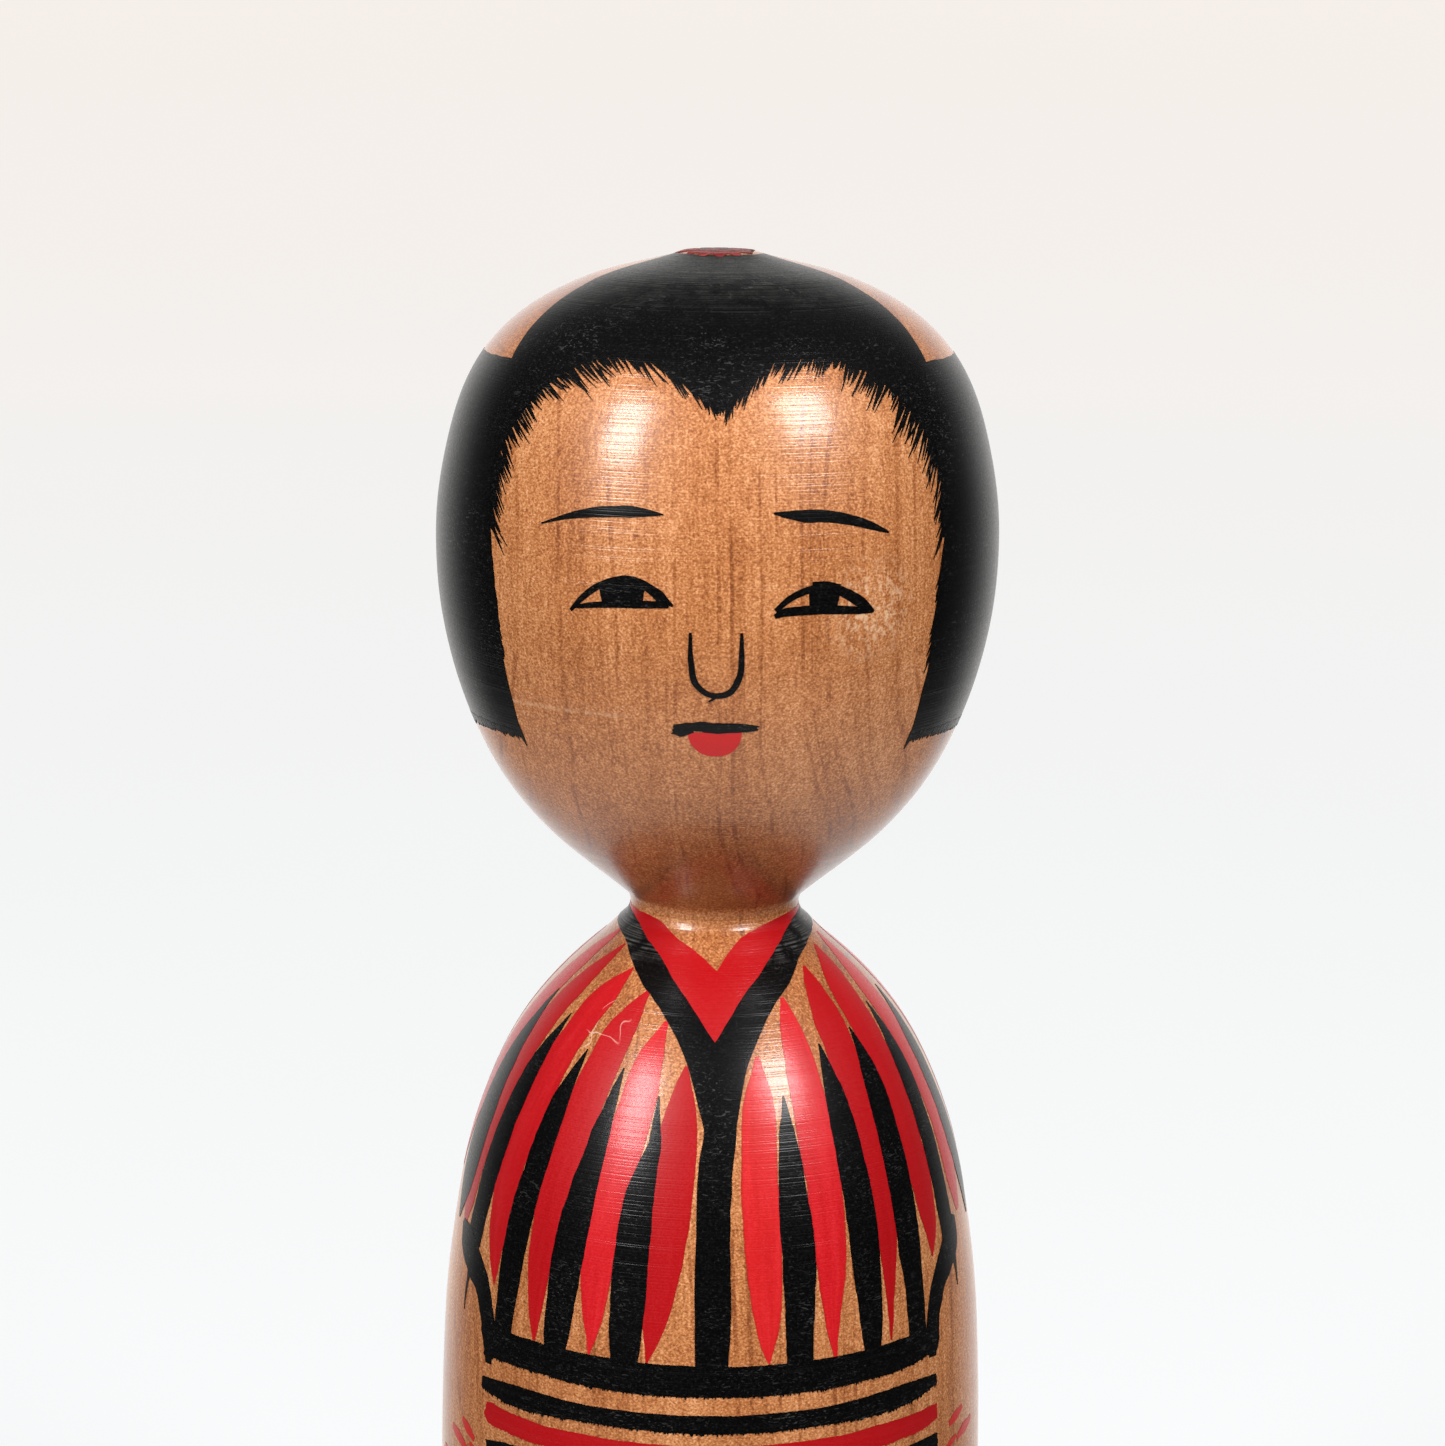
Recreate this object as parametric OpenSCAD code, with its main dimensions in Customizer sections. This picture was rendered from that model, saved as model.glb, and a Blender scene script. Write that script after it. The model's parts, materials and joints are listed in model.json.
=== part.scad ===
// Turned wooden kokeshi doll, standing on its flat base, face towards -Y.
// Two pieces off the lathe: a body with a socket in its neck, and a head whose
// beaded peg snaps into that socket, so the head turns but doesn't lift off.
// Millimetres. The origin is the centre of the base, +Z is the turning axis.

/* [Body] */
// Height of the body, from the base to the seam at the neck
body_h = 197.5; // [185:0.5:210]
// Widest radius of the body, at about half its height
body_r = 43.6; // [40:0.1:47]
// Radius of the rounded edge around the base
base_edge_r = 2.5; // [1:0.1:4]

/* [Head] */
// Height of the head, from the seam at the neck to the crown
head_h = 102.5; // [96:0.5:109]
// Widest radius of the head, at the level of the brows
head_r = 43.6; // [40:0.1:47]
// Radius of the small pad left on the crown by the lathe centre
crown_pad_r = 5.6; // [4:0.1:7]
// Rise of that pad from its rim to its middle
crown_pad_rise = 0.2; // [0:0.05:0.3]

/* [Neck] */
// Smallest radius of the neck, at the seam
neck_r = 13.3; // [12:0.1:15]
// Radius of the hollow turned around the neck
cove_r = 3.0; // [2.5:0.1:3.5]
// How far round the hollow runs up into the head, degrees
cove_head_deg = 49; // [45:1:52]
// How far round the hollow runs down into the shoulders, degrees
cove_body_deg = 51; // [47:1:54]

/* [Peg and socket] */
// Radius of the straight part of the head's peg
peg_r = 8.5; // [7:0.1:9]
// Length of the whole peg below the seam
peg_l = 16; // [14:0.5:20]
// Length of the straight part, from the seam to the bead
shank_l = 7; // [6:0.5:8]
// How far the bead at the peg's end stands out from the straight part
bead_rise = 0.6; // [0.4:0.05:0.8]
// Length of each sloping side of the bead
bead_slope_l = 2; // [1.5:0.5:2.5]
// Radial running clearance between the peg and the socket's throat
peg_clearance = 0.05; // [0.03:0.01:0.08]
// Clearance around the bead and under the end of the peg
bead_clearance = 0.3; // [0.3:0.05:0.5]
// Gap left between head and body at the seam
seam_gap = 0.1; // [0.05:0.05:0.2]

/* [Hidden] */

SPAN_STEPS = 7;      // straight edges that stand for each curved span
ARC_STEPS = 6;       // straight edges that stand for the cove and the base edge
HANDLE = 0.35;       // curve handle as a share of a span's length
TURNED_FN = 96;
seam_z = body_h;
crown_z = body_h + head_h;

// Stations down the head's outline: share of head_r, share of head_h above the
// seam, and the outline's direction there, in degrees from straight down,
// positive where it runs outwards.
HEAD_STATIONS = [
    [0.48, 0.957, 68],
    [0.82, 0.855, 37],
    [0.962, 0.707, 12.5],
    [1, 0.57, 0],
    [0.962, 0.415, -12.5],
    [0.846, 0.268, -24.5],
    [0.65, 0.142, -42]
];

// The same down the body: share of body_r, share of body_h above the base.
BODY_STATIONS = [
    [0.408, 0.972, 50],
    [0.637, 0.9215, 38.5],
    [0.818, 0.8505, 22],
    [0.93, 0.7595, 9],
    [0.984, 0.658, 3],
    [1, 0.527, 0],
    [0.991, 0.3, -1],
    [0.968, 0.1, -2]
];

// A station in millimetres: [radius, height, direction]
function placed(s, r, h, z0) = [s[0] * r, z0 + s[1] * h, s[2]];

// Unit vector of a direction given in degrees from straight down
function heading(deg) = [sin(deg), -cos(deg)];

// Point at share t along the cubic curve from station a to station b
function span_point(a, b, t) =
    let (
        p = [a[0], a[1]],
        q = [b[0], b[1]],
        reach = HANDLE * norm(q - p),
        u = 1 - t
    )
    u * u * u * p
    + 3 * u * u * t * (p + reach * heading(a[2]))
    + 3 * u * t * t * (q - reach * heading(b[2]))
    + t * t * t * q;

// Points of the smooth outline through a list of stations
function outline(stations) = concat(
    [
        for (i = [0:len(stations) - 2], k = [0:SPAN_STEPS - 1])
            span_point(stations[i], stations[i + 1], k / SPAN_STEPS)
    ],
    [[stations[len(stations) - 1][0], stations[len(stations) - 1][1]]]
);

// Point of the cove's arc, deg above (+) or below (-) the seam
function cove_point(deg) =
    [neck_r + cove_r * (1 - cos(deg)), seam_z + cove_r * sin(deg)];

// Station where the cove runs into the head (deg > 0) or the body (deg < 0)
function cove_station(deg) = [cove_point(deg)[0], cove_point(deg)[1], -deg];

// The cove's arc from one angle to another, without its first point
function cove_arc(from_deg, to_deg) = [
    for (k = [1:ARC_STEPS]) cove_point(from_deg + (to_deg - from_deg) * k / ARC_STEPS)
];

// Outside of the head, from the rim of the crown pad down to the seam
function head_outline() = concat(
    outline(concat(
        [[crown_pad_r, crown_z - crown_pad_rise, 73]],
        [for (s = HEAD_STATIONS) placed(s, head_r, head_h, seam_z)],
        [cove_station(cove_head_deg)]
    )),
    cove_arc(cove_head_deg, 0)
);

// Outside of the body, from just under the seam down to the base edge
function body_outline() =
    let (
        gap_deg = asin(seam_gap / cove_r),
        foot = placed([0.962, 0, -3], body_r, body_h, base_edge_r)
    )
    concat(
        [cove_point(-gap_deg)],
        cove_arc(-gap_deg, -cove_body_deg),
        outline(concat(
            [cove_station(-cove_body_deg)],
            [for (s = BODY_STATIONS) placed(s, body_r, body_h, 0)],
            [foot]
        )),
        [
            for (k = [1:ARC_STEPS])
                let (a = 90 * k / ARC_STEPS)
                [foot[0] - base_edge_r * (1 - cos(a)), base_edge_r * (1 - sin(a))]
        ]
    );

// Outline of the peg or, with the clearances added, of the socket, from the
// seam down: straight shank, bead with two sloping sides, flat end
function peg_outline(grow, bead_grow) = [
    [peg_r + grow, seam_z],
    [peg_r + grow, seam_z - shank_l],
    [peg_r + bead_rise + bead_grow, seam_z - shank_l - bead_slope_l],
    [peg_r + bead_rise + bead_grow, seam_z - peg_l + bead_slope_l],
    [peg_r - bead_rise + bead_grow, seam_z - peg_l - bead_grow],
    [0, seam_z - peg_l - bead_grow]
];

module head() {
    color("#be7d4b")
    rotate_extrude($fn = TURNED_FN)
    polygon(concat(
        [[0, crown_z], [crown_pad_r / 2, crown_z - crown_pad_rise / 4]],
        head_outline(),
        peg_outline(0, 0)
    ));
}

module body() {
    color("#be7d4b")
    difference() {
        rotate_extrude($fn = TURNED_FN)
        polygon(concat(
            [[0, seam_z - seam_gap]],
            body_outline(),
            [[0, 0]]
        ));
        rotate_extrude($fn = TURNED_FN)
        polygon(concat(
            [[0, seam_z + seam_gap], [peg_r + peg_clearance, seam_z + seam_gap]],
            peg_outline(peg_clearance, bead_clearance)
        ));
    }
}

body();
head();
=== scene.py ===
"""A turned and painted kokeshi doll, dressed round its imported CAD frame.

Both pieces are solids of revolution, so everything painted on them is placed by
its angle round the turning axis, in degrees, 0 at the front and positive towards
+X, and by its height above the base, in millimetres. Widths are in millimetres.
"""

import json
import math

import bpy
import numpy as np
from mathutils import Matrix, Vector, geometry


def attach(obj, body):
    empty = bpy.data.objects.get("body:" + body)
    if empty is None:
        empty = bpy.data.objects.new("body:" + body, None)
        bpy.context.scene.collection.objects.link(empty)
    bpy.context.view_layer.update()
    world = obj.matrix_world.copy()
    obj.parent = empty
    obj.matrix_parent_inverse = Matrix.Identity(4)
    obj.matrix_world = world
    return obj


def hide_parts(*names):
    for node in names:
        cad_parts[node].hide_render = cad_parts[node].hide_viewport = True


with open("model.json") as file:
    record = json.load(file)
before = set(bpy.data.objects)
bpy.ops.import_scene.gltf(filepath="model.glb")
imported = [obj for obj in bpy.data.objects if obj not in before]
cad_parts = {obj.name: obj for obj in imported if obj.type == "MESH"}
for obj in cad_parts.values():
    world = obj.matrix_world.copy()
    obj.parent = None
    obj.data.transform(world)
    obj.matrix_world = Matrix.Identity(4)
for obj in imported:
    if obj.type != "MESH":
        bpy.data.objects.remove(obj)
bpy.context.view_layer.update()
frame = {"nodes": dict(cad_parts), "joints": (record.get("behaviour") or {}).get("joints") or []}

MM = 0.001
SEAM = frame["joints"][0]["pos_m"][2] / MM
PEG_ZONE_R = 12.0  # the peg and socket lie inside this radius, the outside beyond it

# Proud heights of the paint films over the wood
RED_LIFT = 0.045
BLACK_LIFT = 0.08
DETAIL_LIFT = 0.095
FILM_SINK = -0.06
SEAM_FILL = 0.07  # wax closes most of the gap between the head and the body

TURNED_SEGMENTS = 256
TURNED_PITCH = 0.75  # between the rings of vertices down a turned outside
AXIS_R = 0.01  # the small hole left where a surface meets the axis
OUTLINE_STEP = 0.35  # between the points round a painted area
BRUSH = np.array([-1, -0.86, -0.5, 0, 0.5, 0.86, 1])  # columns of vertices across a stroke


# ---------------- turned shape


def smooth(points, step):
    """Points along a smooth curve through the given ones; the first two columns set its length."""
    p = np.asarray(points, float)
    t = np.r_[0, np.cumsum(np.hypot(*np.diff(p[:, :2], axis=0).T))]
    slope = np.gradient(p, t, axis=0)
    u = np.linspace(0, t[-1], max(3, int(math.ceil(t[-1] / step)) + 1))
    i = np.clip(np.searchsorted(t, u, side="right") - 1, 0, len(t) - 2)
    h = (t[i + 1] - t[i])[:, None]
    s = (u - t[i])[:, None] / h
    return (
        (2 * s**3 - 3 * s**2 + 1) * p[i]
        + (s**3 - 2 * s**2 + s) * h * slope[i]
        + (3 * s**2 - 2 * s**3) * p[i + 1]
        + (s**3 - s**2) * h * slope[i + 1]
    )


class Turned:
    """The outside of a turned CAD node, run from its top end down, and what its peg or socket adds."""

    def __init__(self, node):
        co = np.array([v.co for v in frame["nodes"][node].data.vertices], float) / MM
        rings = np.c_[np.hypot(co[:, 0], co[:, 1]), co[:, 2]]
        rings = rings[np.lexsort((-rings[:, 0], -np.round(rings[:, 1], 2)))]
        apart = np.r_[True, np.hypot(*np.diff(rings, axis=0).T) > 0.03]
        rings = rings[apart]
        hidden = (rings[:, 0] < PEG_ZONE_R) & (rings[:, 1] <= SEAM + 0.01) & (rings[:, 1] > 1)
        self.hidden = rings[hidden]
        outer = smooth(rings[~hidden & (rings[:, 1] > 0.01)], 0.2)
        outer[:, 0] = np.maximum(outer[:, 0], 0)
        self.r, self.z = outer.T
        self.s = np.r_[0, np.cumsum(np.hypot(*np.diff(outer, axis=0).T))]
        tangent = np.gradient(outer, self.s, axis=0)
        tangent /= np.hypot(*tangent.T)[:, None]
        self.nr, self.nz = -tangent[:, 1], tangent[:, 0]

    def run(self, height):
        """Distance along the outline, from its top, to a height."""
        return float(np.interp(-height, -self.z, self.s))

    def radius(self, s):
        return np.interp(s, self.s, self.r)

    def place(self, theta, s, lift=0.0):
        """Positions and normals, in metres, at angles in radians and runs in millimetres."""
        r, z = self.radius(s), np.interp(s, self.s, self.z)
        nr, nz = np.interp(s, self.s, self.nr), np.interp(s, self.s, self.nz)
        r, z = r + lift * nr, z + lift * nz
        c, d = np.sin(theta), -np.cos(theta)
        return np.stack([r * c, r * d, z], -1) * MM, np.stack([nr * c, nr * d, nz], -1)

    def rows(self, s0, s1, pitch, turn=math.radians(7)):
        """Runs between two others, closer together where the outline bends."""
        s = np.arange(s0, s1, 0.1)
        angle = np.unwrap(np.arctan2(np.interp(s, self.s, self.nz), np.interp(s, self.s, self.nr)))
        cost = np.r_[0, np.cumsum(np.maximum(0.1 / pitch, np.abs(np.diff(angle)) / turn))]
        return np.interp(np.arange(0.5, cost[-1]), cost, s)


# ---------------- mesh building


class Sheet:
    """Vertices on a turned surface with their faces, gathered into one piece."""

    def __init__(self, surface):
        self.surface = surface
        self.co, self.no, self.faces = [], [], []
        self.values = {"across": [], "along": [], "run": [], "tint": []}
        self.count = 0

    def add(self, theta, s, faces, lift, across=0.0, along=0.0, tint=0.0):
        """Adds a patch of film, with a skirt down into the wood round its edge."""
        theta, s = np.asarray(theta, float), np.asarray(s, float)
        across = np.broadcast_to(across, s.shape)
        along = np.broadcast_to(along, s.shape)
        co, no = self.surface.place(theta, s, lift)
        self._store(co, no, across, along, s, tint)
        base = self.count
        self.faces += [tuple(base + i for i in f) for f in faces]
        self.count += len(s)
        used = {}
        for f in faces:
            for a, b in zip(f, f[1:] + f[:1]):
                key = (min(a, b), max(a, b))
                used[key] = None if key in used else (a, b)
        edges = [e for e in used.values() if e]
        rim = sorted({i for e in edges for i in e})
        low = {v: self.count + k for k, v in enumerate(rim)}
        co, no = self.surface.place(theta[rim], s[rim], FILM_SINK)
        self._store(co, no, across[rim], along[rim], s[rim], tint)
        self.faces += [(base + b, base + a, low[a], low[b]) for a, b in edges]
        self.count += len(rim)

    def _store(self, co, no, *values):
        self.co.append(co)
        self.no.append(no)
        for key, value in zip(self.values, values):
            self.values[key].append(np.broadcast_to(value, len(co)))

    def build(self, name, material):
        values = {key: np.concatenate(parts) for key, parts in self.values.items()}
        co, no = np.concatenate(self.co), np.concatenate(self.no)
        return mesh_object(name, co, no, self.faces, material, **values)


def mesh_object(name, co, no, faces, material, **values):
    """A smooth-shaded mesh with exact normals and one float attribute per keyword."""
    mesh = bpy.data.meshes.new(name)
    mesh.from_pydata(co.tolist(), [], faces)
    mesh.polygons.foreach_set("use_smooth", [True] * len(mesh.polygons))
    for key, data in values.items():
        layer = mesh.attributes.new(key, "FLOAT", "POINT")
        layer.data.foreach_set("value", np.asarray(data, np.float32))
    mesh.normals_split_custom_set_from_vertices(no.tolist())
    mesh.materials.append(material)
    piece = bpy.data.objects.new(name, mesh)
    bpy.context.scene.collection.objects.link(piece)
    return piece


def bands(first, rings, segments):
    """Faces between rings of vertices, which are numbered ring by ring from the first one."""
    faces = []
    for a in range(first, first + (rings - 1) * segments, segments):
        b = a + segments
        for i in range(segments):
            j = (i + 1) % segments
            faces.append((a + i, b + i, b + j, a + j))
    return faces


def lathe(surface, name, material):
    """The turned wood itself: a fine smooth outside, the flat end, and the peg or socket."""
    theta = np.linspace(0, 2 * math.pi, TURNED_SEGMENTS, endpoint=False)
    co, no, run, faces = [], [], [], []

    def strip(radii, heights, nr, nz, runs):
        faces.extend(bands(len(co) * TURNED_SEGMENTS, len(radii), TURNED_SEGMENTS))
        c, d = np.sin(theta), -np.cos(theta)
        for r, z, a, b, s in zip(radii, heights, nr, nz, runs):
            co.append(np.stack([r * c, r * d, np.full(TURNED_SEGMENTS, z)], -1) * MM)
            no.append(np.stack([a * c, a * d, np.full(TURNED_SEGMENTS, b)], -1))
            run.append(np.full(TURNED_SEGMENTS, s))

    s = np.r_[0, surface.rows(0, surface.s[-1], TURNED_PITCH), surface.s[-1]]
    r, z, nr, nz = (np.interp(s, surface.s, v) for v in (surface.r, surface.z, surface.nr, surface.nz))
    r[0] = max(r[0], AXIS_R)
    end, hidden = surface.s[-1], surface.hidden
    if name.startswith("body"):
        strip(r, z, nr, nz, s)
        strip([r[-1], AXIS_R], [0, 0], [0, 0], [-1, -1], [end, end + r[-1]])
        strip([hidden[0, 0], r[0]], [z[0]] * 2, [0, 0], [1, 1], [0, 0])
        turned_out = -1
    else:
        z[-1] -= SEAM_FILL
        strip(r, z, nr, nz, s)
        strip([r[-1], hidden[0, 0]], [z[-1]] * 2, [0, 0], [-1, -1], [end, end])
        turned_out = 1
    for (r0, z0), (r1, z1) in zip(hidden[:-1], hidden[1:]):
        span = math.hypot(r1 - r0, z1 - z0) or 1
        a, b = turned_out * (z0 - z1) / span, turned_out * (r1 - r0) / span
        strip([max(r0, AXIS_R), max(r1, AXIS_R)], [z0, z1], [a, a], [b, b], [end, end])
    return mesh_object(name, np.concatenate(co), np.concatenate(no), faces, material,
                       run=np.concatenate(run))


# ---------------- brush work


def ripple(rng, n, step, wave, size):
    """n samples of smooth random waver, step apart, of a given wavelength and size."""
    knots = max(4, int(n * step / wave) + 3)
    values = rng.normal(0, size, knots)
    return np.interp(np.linspace(0, knots - 1, n), np.arange(knots), values)


def stroke(sheet, path, rng, lift, step=0.4, waver=0.07, wick=0.0, ragged=0.0, tint=None):
    """One brush stroke along [(angle, height, width), ...], pressed and lifted as the widths say.

    wick is how far the ink creeps down the grain from the lower edge, and ragged is how
    far the brush's hairs run on past each end."""
    surface = sheet.surface
    runs = [surface.run(h) for _, h, _ in path]
    scale = float(np.mean(surface.radius(np.array(runs))))
    c = smooth([(math.radians(a) * scale, s, w) for (a, _, w), s in zip(path, runs)], step)
    theta, s, width = c[:, 0] / scale, c[:, 1], np.maximum(c[:, 2], 0.1)
    n = len(s)
    r = surface.radius(s)
    dx, ds = np.gradient(theta) * r, np.gradient(s)
    length = np.hypot(dx, ds)
    tx, ty = dx / length, ds / length
    press = np.minimum(1, width / 1.5)
    sides = [
        np.maximum(width / 2 + press * (ripple(rng, n, step, 3.0, waver)
                                        + ripple(rng, n, step, 0.7, waver * 0.45)), 0.04)
        for _ in range(2)
    ]
    if wick:
        sides[1] = sides[1] + wick * rng.random(n) ** 4
        sides[0] = sides[0] + 0.25 * wick * rng.random(n) ** 6
    off = np.where(BRUSH < 0, sides[0][:, None], sides[1][:, None]) * BRUSH
    ahead = np.zeros((n, len(BRUSH)))
    if ragged:
        ahead[0] -= ragged * rng.random(len(BRUSH))
        ahead[-1] += ragged * rng.random(len(BRUSH))
    th = theta[:, None] + (-ty[:, None] * off + tx[:, None] * ahead) / r[:, None]
    ss = s[:, None] + tx[:, None] * off + ty[:, None] * ahead
    m = len(BRUSH)
    faces = [
        (k * m + j, k * m + j + 1, (k + 1) * m + j + 1, (k + 1) * m + j)
        for k in range(n - 1)
        for j in range(m - 1)
    ]
    along = np.repeat(np.r_[0, np.cumsum(length[1:])], m)
    tint = rng.random() if tint is None else tint
    sheet.add(th.ravel(), ss.ravel(), faces, lift, np.tile(BRUSH, n), along, tint)


def inside(px, py, poly):
    """Which points lie inside a closed polygon, by counting crossings."""
    hit = np.zeros(len(px), bool)
    for (x0, y0), (x1, y1) in zip(poly, np.roll(poly, -1, axis=0)):
        if y0 == y1:
            continue
        cross = (y0 > py) != (y1 > py)
        hit ^= cross & (px < (x1 - x0) * (py - y0) / (y1 - y0) + x0)
    return hit


def patch(sheet, edges, rng, lift, pitch=1.6, waver=0.05, tint=0.0):
    """A painted area whose outline is a chain of smooth edges, each [(angle, height), ...]."""
    surface = sheet.surface
    outline = []
    scale = float(surface.r.max())
    for edge in edges:
        c = smooth([(math.radians(a) * scale, surface.run(h)) for a, h in edge], OUTLINE_STEP)
        outline.append(c[:-1] if len(edges) > 1 else c)
    outline = np.concatenate(outline)
    shift = [ripple(rng, len(outline), OUTLINE_STEP, 2.5, waver) for _ in range(2)]
    outline = outline + np.stack(shift, 1)
    keep = np.hypot(*(outline - np.roll(outline, 1, axis=0)).T) > 0.02
    outline = outline[keep]
    lo, hi = outline.min(0), outline.max(0)
    rows = surface.rows(lo[1], hi[1], pitch)
    gx, gy = np.meshgrid(np.arange(lo[0], hi[0], pitch), rows)
    gx, gy = gx.ravel(), gy.ravel()
    mask = inside(gx, gy, outline)
    gx, gy = gx[mask], gy[mask]
    near = np.full(len(gx), 1e9)
    for x, y in outline:
        near = np.minimum(near, np.hypot(gx - x, gy - y))
    far = near > 0.3
    points = np.concatenate([outline, np.c_[gx, gy][far]])
    verts, _, faces, *_ = geometry.delaunay_2d_cdt(
        [Vector(p) for p in points], [], [list(range(len(outline)))], 1, 1e-6)
    verts = np.array([tuple(v) for v in verts])
    faces = [tuple(f) for f in faces]
    area = sum((verts[b][0] - verts[a][0]) * (verts[c][1] - verts[a][1])
               - (verts[c][0] - verts[a][0]) * (verts[b][1] - verts[a][1]) for a, b, c in faces)
    if area > 0:
        faces = [f[::-1] for f in faces]
    sheet.add(verts[:, 0] / scale, verts[:, 1], faces, lift, 0.0, verts[:, 1], tint)


def other_side(edge):
    return [(-p[0],) + tuple(p[1:]) for p in edge]


# ---------------- materials


class Nodes:
    """Short names for the shader nodes of a material or of the surroundings."""

    def __init__(self, owner):
        owner.use_nodes = True
        self.owner, self.tree = owner, owner.node_tree
        self.shader = self.tree.nodes.get("Principled BSDF") or self.tree.nodes["Background"]

    def make(self, kind, **inputs):
        node = self.tree.nodes.new("ShaderNode" + kind)
        for key, value in inputs.items():
            place = int(key[1:]) if key[0] == "_" else key.replace("_", " ")
            self.feed(node.inputs[place], value)
        return node

    def feed(self, socket, value):
        if isinstance(value, bpy.types.NodeSocket):
            self.tree.links.new(value, socket)
        else:
            socket.default_value = value

    def place_mm(self, x, y, z):
        """Object position in millimetres, stretched by a factor along each axis."""
        coords = self.make("TexCoord").outputs["Object"]
        node = self.make("VectorMath", _0=coords, _1=(x / MM, y / MM, z / MM))
        node.operation = "MULTIPLY"
        return node.outputs[0]

    def xyz_mm(self):
        """Object position in millimetres, as three values."""
        return list(self.make("SeparateXYZ", Vector=self.place_mm(1, 1, 1)).outputs)

    def attribute(self, name):
        node = self.make("Attribute")
        node.attribute_name = name
        return node.outputs["Fac"]

    def noise(self, stretch, detail=3.0, rough=0.55, distortion=0.0):
        node = self.make("TexNoise", Vector=self.place_mm(*stretch), Scale=1.0, Detail=detail,
                         Roughness=rough, Distortion=distortion)
        return node.outputs["Fac"]

    def noise_1d(self, value, detail=2.0):
        node = self.make("TexNoise", Scale=1.0, Detail=detail)
        node.noise_dimensions = "1D"
        self.feed(node.inputs["W"], value)
        return node.outputs["Fac"]

    def math(self, operation, a, b=0.0, c=None):
        node = self.make("Math", _0=a, _1=b)
        node.operation = operation
        if c is not None:
            self.feed(node.inputs[2], c)
        return node.outputs[0]

    def times(self, a, b):
        return self.math("MULTIPLY", a, b)

    def plus(self, a, b):
        return self.math("ADD", a, b)

    def less(self, a, b):
        return self.math("SUBTRACT", a, b)

    def span(self, value, low, high, to_low=0.0, to_high=1.0):
        node = self.make("MapRange", Value=value, From_Min=low, From_Max=high,
                         To_Min=to_low, To_Max=to_high)
        node.clamp = True
        return node.outputs[0]

    def ramp(self, value, *stops):
        node = self.make("ValToRGB", _0=value)
        ramp = node.color_ramp
        for place, colour in stops[1:-1]:
            ramp.elements.new(place).color = (*colour, 1)
        ramp.elements[0].position, ramp.elements[0].color = stops[0][0], (*stops[0][1], 1)
        ramp.elements[-1].position, ramp.elements[-1].color = stops[-1][0], (*stops[-1][1], 1)
        return node.outputs[0]

    def mix(self, factor, a, b):
        node = self.make("Mix")
        node.data_type = "RGBA"
        for name, kind, value in (("Factor", "VALUE", factor), ("A", "RGBA", a), ("B", "RGBA", b)):
            socket = next(s for s in node.inputs if s.name == name and s.type == kind)
            self.feed(socket, (*value, 1) if isinstance(value, tuple) else value)
        return node.outputs[2]

    def bump(self, height, distance):
        node = self.make("Bump", Height=height, Distance=distance * MM, Strength=1.0)
        return node.outputs[0]

    def finish(self, colour, roughness, normal, coat, coat_roughness, specular=0.25):
        values = {
            "Base Color": colour, "Roughness": roughness, "Normal": normal, "Coat Normal": normal,
            "Coat Weight": coat, "Coat Roughness": coat_roughness, "Specular IOR Level": specular,
        }
        for name, value in values.items():
            self.feed(self.shader.inputs[name], value)
        return self.owner


LATHE_RING_PITCH = 0.5  # between the fine rings that the turning tool leaves


def lathe_marks(n, distance):
    """Fine rings left by the turning tool, broken up a little round the doll, and open pores."""
    run = n.attribute("run")
    waver = n.times(n.noise_1d(run, 1.0), 9.0)
    turns = n.math("MULTIPLY_ADD", run, 2 * math.pi / LATHE_RING_PITCH, waver)
    groove = n.span(n.math("SINE", turns), 0.2, 1.0, 0.0, -0.5)
    deep = n.span(n.noise_1d(n.times(run, 0.8), 1.0), 0.35, 0.65, 0.25, 1.0)
    broad = n.noise_1d(n.times(run, 0.4), 1.0)
    patchy = n.noise((0.12, 0.12, 0.06), 2.0)
    fine = n.times(n.times(groove, deep), n.span(patchy, 0.35, 0.65, 0.5, 1.0))
    rings = n.plus(fine, broad)
    pores = n.noise((2.1, 2.1, 1.6), 2.0)
    height = n.plus(rings, n.times(pores, 0.42))
    return n.bump(height, distance)


def speckle(n):
    """The wood's granular figure, finer than half a millimetre."""
    return n.noise((2.7, 2.7, 3.1), 2.0, 0.6)


def growth_lines(n):
    """Thin dark lines of the growth rings, which run down the doll and waver."""
    warp = n.noise((0.03, 0.03, 0.004), 2.0)
    x, _, z = n.xyz_mm()
    x = n.plus(x, n.times(z, 0.04))
    x = n.plus(x, n.times(warp, 15.0))
    wide = n.noise_1d(n.times(x, 0.16), 2.0)
    thin = n.noise_1d(n.times(x, 0.75), 1.0)
    return wide, n.span(thin, 0.57, 0.68)


def wood_tone(n):
    """How light the wood is, about 0.5, from all its figure together, darkened where it faces up or
    down: end grain, and painted shade under the head.
    """
    wide, thin = growth_lines(n)
    fibre = n.noise((1.3, 1.3, 0.06), 3.0, 0.6)
    blotch = n.noise((0.05, 0.05, 0.035), 2.0)
    broken = n.noise((0.3, 0.3, 0.07), 2.0)
    tone = n.math("MULTIPLY_ADD", speckle(n), 1.7, -0.35)
    tone = n.math("MULTIPLY_ADD", wide, 0.42, n.less(tone, 0.21))
    tone = n.math("MULTIPLY_ADD", fibre, 0.55, n.less(tone, 0.275))
    tone = n.math("MULTIPLY_ADD", blotch, 0.5, n.less(tone, 0.25))
    lines = n.times(thin, n.span(broken, 0.40, 0.62, 0.03, 0.26))
    fleck = n.span(n.noise((0.8, 0.8, 0.2), 1.0), 0.70, 0.78, 0.0, 0.2)
    tone = n.less(n.less(tone, lines), fleck)
    facing = n.make("SeparateXYZ", Vector=n.make("TexCoord").outputs["Normal"])
    # darker where the wood faces up or down: end grain, and painted shade under the head
    end_grain_and_shade = n.span(n.math("ABSOLUTE", facing.outputs[2]), 0.45, 0.95, 0.0, 0.26)
    return n.less(tone, end_grain_and_shade)


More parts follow.
